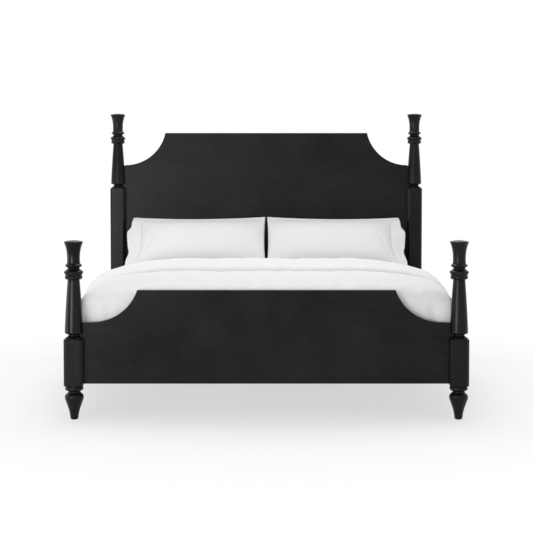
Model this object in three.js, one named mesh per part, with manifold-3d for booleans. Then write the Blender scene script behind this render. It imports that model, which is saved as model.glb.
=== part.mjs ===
// A king-size panel bed in millimetres, +Z up, the floor at z = 0 and the origin under its middle.
// The footboard is at -Y and the headboard at +Y. Four turned posts hold two scooped panels, side
// rails hook into the posts, and slats on a centre beam carry the mattress, the duvet and two pillows.
import * as THREE from "three";
import { RoundedBoxGeometry } from "three/addons/geometries/RoundedBoxGeometry.js";
import { mergeVertices } from "three/addons/utils/BufferGeometryUtils.js";
import Module from "manifold-3d";

const wasm = await Module();
wasm.setup();

// Overall layout
const postSpacingAcross = 2020; // between the axes of the left and right posts
const postSpacingAlong = 2150; // between the axes of the foot and head posts
const seatGap = 0.3; // clearance between pieces that touch
const cutPast = 1; // how far a cutting shape runs past the face that it opens

// Posts: a square block between turned ends
const blockSide = 100;
const blockChamfer = 13.5;
const footHeight = 181; // floor to the underside of the block
const footBlockHeight = 240; // block of a foot post
const headBlockHeight = 945; // block of a head post
const footTaperLength = 271; // long turned taper of a foot post
const headTaperLength = 261; // long turned taper of a head post
const turnedSides = 20;
const curveSteps = 2;
const turnedOverlap = 6; // how far a turning runs into the block it is cut from
const fillet = 4; // width of the level step between two mouldings

// Turned foot, from the glide upwards
const glideHeight = 4;
const glideRadius = 15;
const glideEdge = 1.5; // eased lower edge
const toeRadius = 20.5;
const fluteRadius = 24; // where the foot's long hollow bends out
const fluteHeight = 49;
const bulbRadius = 49;
const bulbHeight = 117;
const bulbTop = 130;
const footNeckRadius = 31;
const collarRadius = 47.5;
const collarBottom = 160;

// Turned top, in the order it leaves the block
const pommelRadius = 47;
const pommelHeight = 18;
const neckRadius = 29;
const neckHeight = 10;
const urnFootRadius = 48.3;
const urnFootHeight = 16; // rounded lower end of the long taper
const urnHeadRadius = 31.5;
const urnSwell = 2.6; // how far the taper's middle stands out of a straight cone
const ringRadius = 45.6;
const ringHeight = 20;
const torusRadius = 49;
const torusHeight = 34;
const spoolRadius = 31;
const spoolHeight = 9;
const beadRadius = 43;
const beadHeight = 24;
const waistRadius = 33;
const waistHeight = 28;
const flareHeight = 81;
const flareBend = 47; // height above the waist where the flare turns outwards
const rimRadius = 49;
const lipHeight = 12;
const lipWidth = 6; // rounding of the rim's upper edge

// Panels, let into grooves in the posts
const panelThickness = 30;
const panelSetback = 46; // from the front of a post to the front of its panel
const panelTongue = 25; // how deep a panel's edge goes into the post
const panelBottom = 188; // height of the lower edge above the floor
const footPanelHeight = 493;
const headPanelHeight = 1319;
const footScoopRadius = 249;
const footScoopInset = 46; // scoop's centre from the post's inner face
const footScoopRise = 80; // scoop's centre above the panel's top edge
const headScoopRadius = 279;
const headScoopInset = 0.5;
const headScoopRise = 60;
const scoopFall = 3; // drop from the scoop's lowest point to the post
const scoopSteps = 14;

// Side rails and their ledgers
const railThickness = 30;
const railHeight = 180;
const railBottom = 205;
const railInset = 10; // from the post axis inwards to the middle of the rail
const railEdge = 4; // width of the cut along each long edge
const ledgerWidth = 32;
const ledgerHeight = 30;
const ledgerEndGap = 20; // from the post's face to the ledger's end

// Slats and what carries them in the middle
const slatCount = 13;
const slatWidth = 80;
const slatThickness = 18;
const slatInset = 65; // from a post's inner face to the middle of the first slat
const slatEndGap = 3; // from the rail to the slat's end
const slatTop = 360;
const slatCrown = 2; // rounding along the slat's long edges
const beamWidth = 45;
const beamHeight = 65;
const hangerSheet = 3;
const hangerReach = 42; // how far a hanger carries the beam
const hangerEar = 24; // flange on each side of the hanger's cradle
const hangerWall = 46; // height of the cradle's side walls
const legSide = 60;
const legToeSide = 44;
const legPlaces = [40, 560]; // distance of each leg from the middle of the bed, towards the head
const legLift = 20; // from the floor to the leg's lower end
const legBoreDepth = 55;
const legBoreSides = 16;

// Levelling foot: a disc on a threaded stem
const levellerRadius = 21;
const levellerEdge = 1; // eased lower edge of the disc
const levellerDisc = 7;
const levellerCone = 5;
const levellerConeRadius = 9;
const stemRadius = 4;
const stemLength = 52;
const stemClearance = 0.5;

// Rail fittings: a plate with two hooks in the rail, a slotted plate in the post
const plateWidth = 20;
const plateHeight = 130;
const plateThickness = 3;
const plateBottom = 230;
const hookThickness = 4;
const hookRootHeight = 20;
const hookReach = 13;
const hookDrop = 8; // how far a hook's tip hangs below its root
const hookTip = 6; // thickness of the hanging tip
const hookPitch = 62;
const hookInset = 34; // from the plate's lower end to the middle of the first hook
const slotClearance = 2;
const pocketEnd = 6; // wood left between a pocket and each end of its plate

// Mattress
const mattressThickness = 265;
const mattressRounding = 38;
const mattressSideGap = 20; // from a rail to the mattress
const mattressHeadGap = 41; // from the headboard to the mattress
const mattressFootGap = 49; // from the footboard to the mattress

// Duvet: a padded sheet over the mattress that hangs outside the rails
const duvetOverhang = 81; // how far the hanging sides stand outside the rails
const duvetThickness = 30; // of the hanging sides
const duvetLoft = 78; // of the top, between its crown and the mattress
const duvetHem = 335;
const duvetShoulderLoft = 34; // height of the shoulder above the mattress
const duvetShoulderInset = 35; // from the mattress's side in to the shoulder
const duvetFlatReach = 450; // half-width of the level part of the crown
const duvetSideDepth = 125; // from the mattress's top down to where the side is upright
const duvetSideLean = 12; // how far the side leans in before it rounds over
const duvetSideRound = 35; // how far below the shoulder it does so
const duvetCrownReach = 60; // how far out the crown stays nearly level
const duvetFootWall = 40; // thickness tucked in behind the footboard
const duvetTuck = 20; // from the slats to the tucked edge
const duvetFootRounding = 95; // length over which the top falls at the foot
const duvetFootFall = 45; // how far it falls there
const duvetFootEdge = 24; // and how much further its last edge turns down
const duvetFootCurl = 4; // how suddenly it does so
const turndownFold = 281; // the folded edge, from the middle of the bed towards the head
const turndownLength = 585; // how far the head end is folded back
const turndownRise = 24; // extra height of the doubled part's crown
const turndownEdgeRise = 5; // and of its shoulders
const turndownEase = 30; // length over which that height is gained
const foldWave = 13; // how far the hanging folds stand out at the hem
const foldPitch = 236;
const duvetStations = 26;
const duvetCurveSteps = 4;
const stationCrowding = 1.25; // above 1, the stations stand closer together at the foot
const postAllowance = 5; // room between the duvet and a post

// Pillows in their cases
const pillowWidth = 830;
const pillowHeight = 508;
const pillowLoft = 168;
const pillowLean = 37; // degrees from level
const pillowFlap = 78; // open hemmed end of the case, past the pillow
const flapThickness = 12;
const pillowDrawIn = 18; // how far each side pulls in between its corners
const pillowGap = 6; // between the two pillows
const pillowColumns = 14;
const pillowRows = 10;
const pillowPower = 3.2; // how square the crown's flanks are

// Heights and faces worked out from the sizes above
const postFace = blockSide / 2;
const postAcross = postSpacingAcross / 2;
const postAlong = postSpacingAlong / 2;
const innerFaceAcross = postAcross - postFace;
const innerFaceAlong = postAlong - postFace;
const panelFront = panelSetback - postFace; // front of a panel, from its posts' axes
const panelBack = panelFront + panelThickness;
const railMiddle = postAcross - railInset;
const railInner = railMiddle - railThickness / 2;
const railOuter = railMiddle + railThickness / 2;
const railEnd = innerFaceAlong - seatGap;
const slatBottom = slatTop - slatThickness;
const slatPitch = (2 * (innerFaceAlong - slatInset)) / (slatCount - 1);
const ledgerTop = slatBottom - seatGap;
const beamTop = slatBottom - seatGap;
const beamBottom = beamTop - beamHeight;
const footPanelBack = -postAlong + panelBack;
const headPanelFront = postAlong + panelFront;
const mattressBottom = slatTop + seatGap;
const mattressTop = mattressBottom + mattressThickness;
const mattressHead = headPanelFront - mattressHeadGap;
const mattressFoot = footPanelBack + mattressFootGap;
const mattressHalfWidth = railInner - mattressSideGap;
const duvetInnerTop = mattressTop + seatGap;
const duvetHalfWidth = railOuter + duvetOverhang;

// A finish, by its colour, roughness and share of metal.
function finish(name, color, roughness, metalness = 0) {
  return new THREE.MeshStandardMaterial({ name, color, roughness, metalness });
}

const paint = finish("black_paint", 0x2f2e2e, 0.42);
const pine = finish("pine", 0xcdb083, 0.7);
const zinc = finish("zinc_steel", 0xa9abad, 0.38, 0.9);
const nylon = finish("nylon", 0x26262a, 0.5);
const ticking = finish("ticking", 0xf1f0ec, 0.9);
const cotton = finish("cotton", 0xf6f6f6, 0.85);

// A geometry's closed surface as a solid that can be cut and joined.
function solidOf(geometry) {
  const bare = geometry.index ? geometry.toNonIndexed() : geometry.clone();
  bare.deleteAttribute("normal");
  bare.deleteAttribute("uv");
  bare.clearGroups();
  const merged = mergeVertices(bare, 1e-4);
  const corners = merged.index.array;
  const kept = [];
  for (let i = 0; i < corners.length; i += 3) {
    const [a, b, c] = corners.slice(i, i + 3);
    if (a !== b && b !== c && c !== a) kept.push(a, b, c);
  }
  const vertProperties = merged.attributes.position.array;
  return new wasm.Manifold(new wasm.Mesh({ numProp: 3, vertProperties, triVerts: new Uint32Array(kept) }));
}

// A solid's surface as a geometry.
function geometryOf(solid) {
  const { vertProperties, triVerts } = solid.getMesh();
  const geometry = new THREE.BufferGeometry();
  geometry.setAttribute("position", new THREE.BufferAttribute(vertProperties, 3));
  geometry.setIndex(new THREE.BufferAttribute(triVerts, 1));
  geometry.computeVertexNormals();
  return geometry;
}

// A box between two opposite corners, whichever is the lower.
function boxBetween([x0, y0, z0], [x1, y1, z1]) {
  const box = new THREE.BoxGeometry(Math.abs(x1 - x0), Math.abs(y1 - y0), Math.abs(z1 - z0));
  return box.translate((x0 + x1) / 2, (y0 + y1) / 2, (z0 + z1) / 2);
}

// A turned solid about the Z axis, from a profile that starts and ends on the axis.
function turned(path) {
  return new THREE.LatheGeometry(path.getPoints(curveSteps), turnedSides).rotateX(Math.PI / 2);
}

// An outline in the XZ plane, given thickness along Y from front to front + thickness.
function panelBetween(shape, front, thickness, curveSegments) {
  const board = new THREE.ExtrudeGeometry(shape, { depth: thickness, bevelEnabled: false, curveSegments });
  return board.rotateX(Math.PI / 2).translate(0, front + thickness, 0);
}

// One moulding, a swell or a hollow: it leaves level, stands upright half-way and comes back level.
function addMoulding(path, radius, endRadius, height) {
  const bottom = path.currentPoint.y;
  path.quadraticCurveTo(radius, bottom, radius, bottom + height / 2);
  path.quadraticCurveTo(radius, bottom + height, endRadius, bottom + height);
}

// The vase-shaped foot under a block.
function turnedFoot() {
  const bottom = glideHeight + seatGap;
  const path = new THREE.Path();
  path.moveTo(0, bottom);
  path.lineTo(toeRadius, bottom);
  path.quadraticCurveTo(fluteRadius, fluteHeight, bulbRadius, bulbHeight);
  path.quadraticCurveTo(bulbRadius, bulbTop, bulbRadius - 2 * fillet, bulbTop);
  addMoulding(path, footNeckRadius, collarRadius - fillet, collarBottom - bulbTop);
  addMoulding(path, collarRadius, collarRadius - fillet, footHeight - collarBottom);
  path.lineTo(collarRadius - fillet, footHeight + turnedOverlap);
  path.lineTo(0, footHeight + turnedOverlap);
  return turned(path);
}

// The pommel, urn-shaped taper, rings and flared crown above a block that ends at blockTop.
function turnedTop(blockTop, taperLength) {
  const urnBottom = blockTop + pommelHeight + neckHeight;
  const taperBottom = urnBottom + urnFootHeight;
  const taperTop = taperBottom + taperLength;
  const taperMiddle = (urnFootRadius + urnHeadRadius) / 2 + urnSwell;
  const waistBottom = taperTop + ringHeight + torusHeight + spoolHeight + beadHeight;
  const flareBottom = waistBottom + waistHeight;
  const rimBottom = flareBottom + flareHeight;
  const crownTop = rimBottom + lipHeight;
  const path = new THREE.Path();
  path.moveTo(0, blockTop - turnedOverlap);
  path.lineTo(pommelRadius - fillet, blockTop - turnedOverlap);
  path.lineTo(pommelRadius - fillet, blockTop);
  addMoulding(path, pommelRadius, pommelRadius - fillet, pommelHeight);
  addMoulding(path, neckRadius, urnFootRadius - 2 * fillet, neckHeight);
  path.quadraticCurveTo(urnFootRadius, urnBottom, urnFootRadius, taperBottom);
  path.quadraticCurveTo(taperMiddle, (taperBottom + taperTop) / 2, urnHeadRadius, taperTop);
  path.lineTo(ringRadius - fillet, taperTop);
  addMoulding(path, ringRadius, ringRadius - fillet, ringHeight);
  addMoulding(path, torusRadius, spoolRadius + fillet, torusHeight);
  addMoulding(path, spoolRadius, spoolRadius + fillet, spoolHeight);
  addMoulding(path, beadRadius, waistRadius + fillet, beadHeight);
  path.quadraticCurveTo(waistRadius, waistBottom, waistRadius, flareBottom);
  path.quadraticCurveTo(waistRadius, flareBottom + flareBend, rimRadius, rimBottom);
  path.quadraticCurveTo(rimRadius, crownTop, rimRadius - lipWidth, crownTop);
  path.lineTo(0, crownTop);
  return turned(path);
}

// A square block with its four upright edges cut off.
function chamferedBlock(bottom, height) {
  const flat = postFace - blockChamfer;
  const shape = new THREE.Shape();
  shape.moveTo(-flat, -postFace);
  shape.lineTo(flat, -postFace);
  shape.lineTo(postFace, -flat);
  shape.lineTo(postFace, flat);
  shape.lineTo(flat, postFace);
  shape.lineTo(-flat, postFace);
  shape.lineTo(-postFace, flat);
  shape.lineTo(-postFace, -flat);
  shape.closePath();
  return new THREE.ExtrudeGeometry(shape, { depth: height, bevelEnabled: false }).translate(0, 0, bottom);
}

// One post about its own axis: sideways and lengthways point from the post to the outside of the bed.
function postGeometry(sideways, lengthways, blockHeight, taperLength, grooveTop) {
  const blockTop = footHeight + blockHeight;
  const towardsMiddle = -sideways;
  const towardsRail = -lengthways;
  const body = solidOf(turnedFoot())
    .add(solidOf(chamferedBlock(footHeight, blockHeight)))
    .add(solidOf(turnedTop(blockTop, taperLength)));
  const groove = boxBetween(
    [towardsMiddle * (postFace - panelTongue - seatGap), panelFront - seatGap, panelBottom - seatGap],
    [towardsMiddle * (postFace + cutPast), panelBack + seatGap, grooveTop],
  );
  const railX = towardsMiddle * railInset;
  const halfPlate = plateWidth / 2 + seatGap;
  const recess = boxBetween(
    [railX - halfPlate, towardsRail * (postFace - plateThickness - seatGap), plateBottom - seatGap],
    [railX + halfPlate, towardsRail * (postFace + cutPast), plateBottom + plateHeight + seatGap],
  );
  const halfPocket = hookThickness / 2 + slotClearance;
  const pocketDepth = plateThickness + hookReach + hookTip;
  const pocket = boxBetween(
    [railX - halfPocket, towardsRail * (postFace - pocketDepth), plateBottom + pocketEnd],
    [railX + halfPocket, towardsRail * (postFace - cutPast), plateBottom + plateHeight - pocketEnd],
  );
  return geometryOf(body.subtract(solidOf(groove)).subtract(solidOf(recess)).subtract(solidOf(pocket)));
}

// Height where a panel's top edge meets its post.
function panelEdgeTop(height, scoopRadius, scoopRise) {
  return panelBottom + height + scoopRise - scoopRadius - scoopFall;
}

// A head or foot panel with a quarter-round scoop at each upper corner.
function scoopedPanel(height, scoopRadius, scoopInset, scoopRise) {
  const top = panelBottom + height;
  const edgeTop = panelEdgeTop(height, scoopRadius, scoopRise);
  const tongueX = innerFaceAcross + panelTongue;
  const centreX = innerFaceAcross - scoopInset;
  const start = Math.asin(scoopRise / scoopRadius);
  const shape = new THREE.Shape();
  shape.moveTo(-tongueX, panelBottom);
  shape.lineTo(-tongueX, edgeTop);
  shape.lineTo(-innerFaceAcross, edgeTop);
  shape.absarc(-centreX, top + scoopRise, scoopRadius, -Math.PI / 2, -start, false);
  shape.absarc(centreX, top + scoopRise, scoopRadius, Math.PI + start, (3 * Math.PI) / 2, false);
  shape.lineTo(innerFaceAcross, edgeTop);
  shape.lineTo(tongueX, edgeTop);
  shape.lineTo(tongueX, panelBottom);
  shape.closePath();
  return shape;
}

// A side rail with its long edges eased and a recess in each end for the hook plate.
function railGeometry(side) {
  const halfThick = railThickness / 2;
  const halfTall = railHeight / 2;
  const shape = new THREE.Shape();
  shape.moveTo(-halfThick + railEdge, -halfTall);
  shape.lineTo(halfThick - railEdge, -halfTall);
  shape.lineTo(halfThick, -halfTall + railEdge);
  shape.lineTo(halfThick, halfTall - railEdge);
  shape.lineTo(halfThick - railEdge, halfTall);
  shape.lineTo(-halfThick + railEdge, halfTall);
  shape.lineTo(-halfThick, halfTall - railEdge);
  shape.lineTo(-halfThick, -halfTall + railEdge);
  shape.closePath();
  const bar = new THREE.ExtrudeGeometry(shape, { depth: railEnd * 2, bevelEnabled: false });
  bar.rotateX(Math.PI / 2).translate(side * railMiddle, railEnd, railBottom + halfTall);
  let rail = solidOf(bar);
  const halfPlate = plateWidth / 2 + seatGap;
  const plateBack = railEnd - plateThickness - seatGap;
  for (const end of [-1, 1]) {
    const recess = boxBetween(
      [side * railMiddle - halfPlate, end * plateBack, plateBottom - seatGap],
      [side * railMiddle + halfPlate, end * (railEnd + cutPast), plateBottom + plateHeight + seatGap],
    );
    rail = rail.subtract(solidOf(recess));
  }
  return geometryOf(rail);
}

// The plate let into a rail's end, with two hooks that drop into the post.
function hookPlateGeometry(side, end) {
  const x = side * railMiddle;
  const back = end * (railEnd - plateThickness);
  const face = end * railEnd;
  const tipEnd = end * (railEnd + plateThickness + hookReach);
  const halfPlate = plateWidth / 2;
  const halfHook = hookThickness / 2;
  const plateTop = plateBottom + plateHeight;
  const sheet = boxBetween([x - halfPlate, back, plateBottom], [x + halfPlate, face, plateTop]);
  let plate = solidOf(sheet);
  for (const step of [0, 1]) {
    const middle = plateBottom + hookInset + step * hookPitch;
    const low = middle - hookRootHeight / 2;
    const root = boxBetween([x - halfHook, back, low], [x + halfHook, tipEnd, low + hookRootHeight]);
    const tipStart = tipEnd - end * hookTip;
    const tip = boxBetween([x - halfHook, tipStart, low - hookDrop], [x + halfHook, tipEnd, middle]);
    plate = plate.add(solidOf(root)).add(solidOf(tip));
  }
  return geometryOf(plate);
}

// The plate let into a post, with a slot for each hook.
function slotPlateGeometry(side, end) {
  const x = side * railMiddle;
  const outer = end * innerFaceAlong;
  const inner = end * (innerFaceAlong + plateThickness);
  const halfPlate = plateWidth / 2;
  const plateTop = plateBottom + plateHeight;
  const sheet = boxBetween([x - halfPlate, outer, plateBottom], [x + halfPlate, inner, plateTop]);
  let plate = solidOf(sheet);
  const halfSlot = hookThickness / 2 + slotClearance;
  for (const step of [0, 1]) {
    const middle = plateBottom + hookInset + step * hookPitch;
    const low = middle - hookRootHeight / 2 - hookDrop - slotClearance;
    const slot = boxBetween(
      [x - halfSlot, outer - end * cutPast, low],
      [x + halfSlot, inner + end * cutPast, middle + hookRootHeight / 2 + slotClearance],
    );
    plate = plate.subtract(solidOf(slot));
  }
  return geometryOf(plate);
}

// A cleat along the inside of a rail, which carries the slats' ends.
function ledgerGeometry(side) {
  const end = innerFaceAlong - ledgerEndGap;
  const face = side * (railInner - seatGap);
  return boxBetween([face, -end, ledgerTop - ledgerHeight], [face - side * ledgerWidth, end, ledgerTop]);
}

// A slat with its two long upper edges eased.
function slatGeometry() {
  const half = slatWidth / 2;
  const length = (railInner - slatEndGap) * 2;
  const shape = new THREE.Shape();
  shape.moveTo(-half, 0);
  shape.lineTo(half, 0);
  shape.lineTo(half, slatThickness - slatCrown);
  shape.lineTo(half - slatCrown, slatThickness);
  shape.lineTo(-half + slatCrown, slatThickness);
  shape.lineTo(-half, slatThickness - slatCrown);
  shape.closePath();
  const bar = new THREE.ExtrudeGeometry(shape, { depth: length, bevelEnabled: false });
  return bar.rotateX(Math.PI / 2).rotateZ(Math.PI / 2).translate(-length / 2, 0, 0);
}

// The beam under the middle of the slats, between the two hangers' back sheets.
function beamGeometry() {
  const foot = footPanelBack + seatGap + hangerSheet + seatGap;
  const head = headPanelFront - seatGap - hangerSheet - seatGap;
  return boxBetween([-beamWidth / 2, foot, beamBottom], [beamWidth / 2, head, beamTop]);
}

// A sheet-metal cradle on a panel: a back with two ears, a floor and two walls round the beam's end.
function hangerGeometry(panelFace, towardsBeam) {
  const back = panelFace + towardsBeam * seatGap;
  const front = back + towardsBeam * hangerSheet;
  const reach = back + towardsBeam * hangerReach;
  const inside = beamWidth / 2 + seatGap;
  const outside = inside + hangerSheet;
  const floorTop = beamBottom - seatGap;
  const floorBottom = floorTop - hangerSheet;
  const wallTop = floorTop + hangerWall;
  const sheet = boxBetween([-outside - hangerEar, back, floorBottom], [outside + hangerEar, front, wallTop]);
  const floor = boxBetween([-outside, back, floorBottom], [outside, reach, floorTop]);
  let hanger = solidOf(sheet).add(solidOf(floor));
  for (const side of [-1, 1]) {
    const wall = boxBetween([side * inside, back, floorBottom], [side * outside, reach, wallTop]);
    hanger = hanger.add(solidOf(wall));
  }
  return geometryOf(hanger);
}

// A square leg under the beam that narrows towards the floor, bored for its levelling foot.
function legGeometry() {
  const top = beamBottom - seatGap;
  const height = top - legLift;
  const corner = Math.SQRT1_2;
  const leg = new THREE.CylinderGeometry(legSide * corner, legToeSide * corner, height, 4);
  leg.rotateX(Math.PI / 2).rotateZ(Math.PI / 4).translate(0, 0, legLift + height / 2);
  const boreRadius = stemRadius + stemClearance;
  const bore = new THREE.CylinderGeometry(boreRadius, boreRadius, legBoreDepth + cutPast, legBoreSides);
  bore.rotateX(Math.PI / 2).translate(0, 0, legLift + (legBoreDepth - cutPast) / 2);
  return geometryOf(solidOf(leg).subtract(solidOf(bore)));
}

// A levelling foot: disc, cone and stem.
function levellerGeometry() {
  const path = new THREE.Path();
  path.moveTo(0, 0);
  path.lineTo(levellerRadius - levellerEdge, 0);
  path.lineTo(levellerRadius, levellerEdge);
  path.lineTo(levellerRadius, levellerDisc);
  path.lineTo(levellerConeRadius, levellerDisc + levellerCone);
  path.lineTo(stemRadius, levellerDisc + levellerCone);
  path.lineTo(stemRadius, levellerDisc + levellerCone + stemLength);
  path.lineTo(0, levellerDisc + levellerCone + stemLength);
  return turned(path);
}

// A round glide under a post.
function glideGeometry() {
  const path = new THREE.Path();
  path.moveTo(0, 0);
  path.lineTo(glideRadius - glideEdge, 0);
  path.lineTo(glideRadius, glideEdge);
  path.lineTo(glideRadius, glideHeight);
  path.lineTo(0, glideHeight);
  return turned(path);
}

// The mattress, with rounded edges.
function mattressGeometry() {
  const length = mattressHead - mattressFoot;
  const box = new RoundedBoxGeometry(mattressHalfWidth * 2, length, mattressThickness, 2, mattressRounding);
  const middle = (mattressHead + mattressFoot) / 2;
  return geometryOf(solidOf(box)).translate(0, middle, mattressBottom + mattressThickness / 2);
}

// Between 0 and 1, with level ends.
function ease(value) {
  return THREE.MathUtils.smoothstep(value, 0, 1);
}

// How much of the turned-down doubling is there at a place along the bed.
function turndownShare(y) {
  const front = turndownFold - turndownLength;
  return ease((y - front) / turndownEase);
}

// How far the duvet's top falls at a place along the bed, where it turns down at the foot.
function footFall(y) {
  const start = footPanelBack + seatGap;
  const left = 1 - THREE.MathUtils.clamp((y - start) / duvetFootRounding, 0, 1);
  return duvetFootFall * (1 - Math.sqrt(1 - left ** 2)) + duvetFootEdge * left ** duvetFootCurl;
}

// One cross-section of the duvet's outer or inner surface, from the right hem over the top to the left.
function duvetSection(y, outer) {
  const fold = foldWave * Math.cos((2 * Math.PI * y) / foldPitch);
  const inset = outer ? 0 : duvetThickness;
  const doubled = turndownShare(y);
  const crown = outer ? mattressTop + duvetLoft + turndownRise * doubled - footFall(y) : duvetInnerTop;
  const edge = mattressTop + duvetShoulderLoft + turndownEdgeRise * doubled - footFall(y);
  const shoulder = outer ? edge : duvetInnerTop;
  const shoulderX = outer ? mattressHalfWidth - duvetShoulderInset : mattressHalfWidth + seatGap;
  const sideTop = mattressTop - duvetSideDepth;
  const hemX = duvetHalfWidth - inset + fold;
  const upperX = duvetHalfWidth - inset;
  const hemZ = outer ? duvetHem : duvetHem - cutPast;
  const half = new THREE.Path();
  half.moveTo(hemX, hemZ);
  half.lineTo((hemX + upperX) / 2, (duvetHem + sideTop) / 2);
  half.lineTo(upperX, sideTop);
  half.quadraticCurveTo(upperX - duvetSideLean, shoulder - duvetSideRound, shoulderX, shoulder);
  half.quadraticCurveTo((shoulderX + duvetFlatReach) / 2 + duvetCrownReach, crown, duvetFlatReach, crown);
  const right = half.getPoints(duvetCurveSteps);
  const left = right.map((p) => new THREE.Vector2(-p.x, p.y)).reverse();
  return [...right, ...left];
}

// A solid between cross-sections that have as many points each.
function loft(stations, sectionAt) {
  const sections = stations.map((y) => sectionAt(y));
  const width = sections[0].length;
  const positions = [];
  const corners = [];
  stations.forEach((y, i) => sections[i].forEach((p) => positions.push(p.x, y, p.y)));
  for (let i = 0; i + 1 < stations.length; i += 1) {
    for (let j = 0; j < width; j += 1) {
      const next = (j + 1) % width;
      const a = i * width + j;
      const b = i * width + next;
      corners.push(a, a + width, b + width, a, b + width, b);
    }
  }
  const last = (stations.length - 1) * width;
  for (const [a, b, c] of THREE.ShapeUtils.triangulateShape(sections[0], [])) corners.push(a, b, c);
  for (const [a, b, c] of THREE.ShapeUtils.triangulateShape(sections.at(-1), [])) {
    corners.push(last + a, last + c, last + b);
  }
  const geometry = new THREE.BufferGeometry();
  geometry.setAttribute("position", new THREE.Float32BufferAttribute(positions, 3));
  geometry.setIndex(corners);
  return solidOf(geometry);
}

// Places along the bed between two ends, closer together near the first.
function stationsBetween(first, last) {
  const lastIndex = duvetStations - 1;
  return Array.from({ length: duvetStations }, (unused, i) => {
    return first + (last - first) * (i / lastIndex) ** stationCrowding;
  });
}

// The duvet: its outer form less the room inside it, and less the room the foot posts need.
function duvetGeometry() {
  const foot = footPanelBack + seatGap;
  const inside = foot + duvetFootWall;
  const below = duvetHem - 2 * cutPast;
  const outside = duvetHalfWidth + foldWave + cutPast;
  const above = mattressTop + duvetLoft + cutPast;
  const outerForm = loft(stationsBetween(foot, turndownFold), (y) => duvetSection(y, true));
  const room = loft(stationsBetween(inside, turndownFold + cutPast), (y) => duvetSection(y, false));
  let duvet = outerForm.subtract(room);
  const tuckTop = slatTop + duvetTuck;
  const underFoot = boxBetween([-outside, foot - cutPast, below], [outside, mattressFoot, tuckTop]);
  duvet = duvet.subtract(solidOf(underFoot));
  for (const side of [-1, 1]) {
    const postRoom = boxBetween(
      [side * (innerFaceAcross - postAllowance), foot - cutPast, below],
      [side * outside, -innerFaceAlong + postAllowance, above],
    );
    const railRoom = boxBetween(
      [side * (railInner - postAllowance), foot - cutPast, below],
      [side * (railOuter + postAllowance), turndownFold + cutPast, railBottom + railHeight + postAllowance],
    );
    duvet = duvet.subtract(solidOf(postRoom)).subtract(solidOf(railRoom));
  }
  return geometryOf(duvet);
}

// Half the thickness of a pillow and its case, at a place across and up its face from -1 to 1.
function pillowHalf(across, up) {
  const bodyShare = pillowWidth / (pillowWidth + pillowFlap);
  const body = THREE.MathUtils.clamp((across - (1 - bodyShare)) / bodyShare, -1, 1);
  const crown = (1 - Math.abs(body) ** pillowPower) * (1 - Math.abs(up) ** pillowPower);
  return Math.max((pillowLoft / 2) * Math.sqrt(crown), flapThickness / 2);
}

// A pillow in its case: two crowned faces that meet in a seam, leaning on the headboard.
function pillowGeometry(side) {
  const whole = pillowWidth + pillowFlap;
  const face = (sign) => (column, row) => {
    const across = (column / pillowColumns) * 2 - 1;
    const up = (row / pillowRows) * 2 - 1;
    const rim = column === 0 || row === 0 || column === pillowColumns || row === pillowRows;
    const x = across * (whole / 2 - pillowDrawIn * (1 - up * up));
    const y = up * (pillowHeight / 2 - pillowDrawIn * (1 - across * across));
    return [-side * x, y, rim ? 0 : sign * pillowHalf(across, up)];
  };
  const positions = [];
  const corners = [];
  const addFace = (at, forward) => {
    const base = positions.length / 3;
    for (let row = 0; row <= pillowRows; row += 1) {
      for (let column = 0; column <= pillowColumns; column += 1) positions.push(...at(column, row));
    }
    for (let row = 0; row < pillowRows; row += 1) {
      for (let column = 0; column < pillowColumns; column += 1) {
        const a = base + row * (pillowColumns + 1) + column;
        const b = a + 1;
        const c = a + pillowColumns + 2;
        const d = a + pillowColumns + 1;
        if (forward) corners.push(a, b, c, a, c, d);
        else corners.push(a, c, b, a, d, c);
      }
    }
  };
  addFace(face(1), side < 0);
  addFace(face(-1), side > 0);
  const geometry = new THREE.BufferGeometry();
  geometry.setAttribute("position", new THREE.Float32BufferAttribute(positions, 3));
  geometry.setIndex(corners);
  const pillow = geometryOf(solidOf(geometry));
  pillow.rotateX(THREE.MathUtils.degToRad(pillowLean));
  pillow.computeBoundingBox();
  const { min, max } = pillow.boundingBox;
  return pillow.translate(
    side * (pillowGap / 2 + whole / 2),
    headPanelFront - seatGap - max.y,
    mattressTop + seatGap - min.z,
  );
}

const bed = new THREE.Group();
bed.name = "panel_bed";

// Adds a named piece to the bed, moved to a place.
function place(name, geometry, material, x = 0, y = 0, z = 0) {
  const mesh = new THREE.Mesh(geometry, material);
  mesh.name = name;
  mesh.position.set(x, y, z);
  bed.add(mesh);
}

const sides = { left: -1, right: 1 };
const boards = {
  foot: {
    end: -1,
    blockHeight: footBlockHeight,
    taperLength: footTaperLength,
    panelHeight: footPanelHeight,
    scoop: [footScoopRadius, footScoopInset, footScoopRise],
  },
  head: {
    end: 1,
    blockHeight: headBlockHeight,
    taperLength: headTaperLength,
    panelHeight: headPanelHeight,
    scoop: [headScoopRadius, headScoopInset, headScoopRise],
  },
};

for (const [board, { end, blockHeight, taperLength, panelHeight, scoop }] of Object.entries(boards)) {
  const [scoopRadius, scoopInset, scoopRise] = scoop;
  const grooveTop = panelEdgeTop(panelHeight, scoopRadius, scoopRise) + seatGap;
  const shape = scoopedPanel(panelHeight, scoopRadius, scoopInset, scoopRise);
  const panel = panelBetween(shape, end * postAlong + panelFront, panelThickness, scoopSteps);
  place(`${board}board_panel`, panel, paint);
  for (const [name, side] of Object.entries(sides)) {
    const post = postGeometry(side, end, blockHeight, taperLength, grooveTop);
    place(`${board}_post_${name}`, post, paint, side * postAcross, end * postAlong);
    place(`${board}_glide_${name}`, glideGeometry(), nylon, side * postAcross, end * postAlong);
    place(`${board}_slot_plate_${name}`, slotPlateGeometry(side, end), zinc);
    place(`${board}_hook_plate_${name}`, hookPlateGeometry(side, end), zinc);
  }
}

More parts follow.
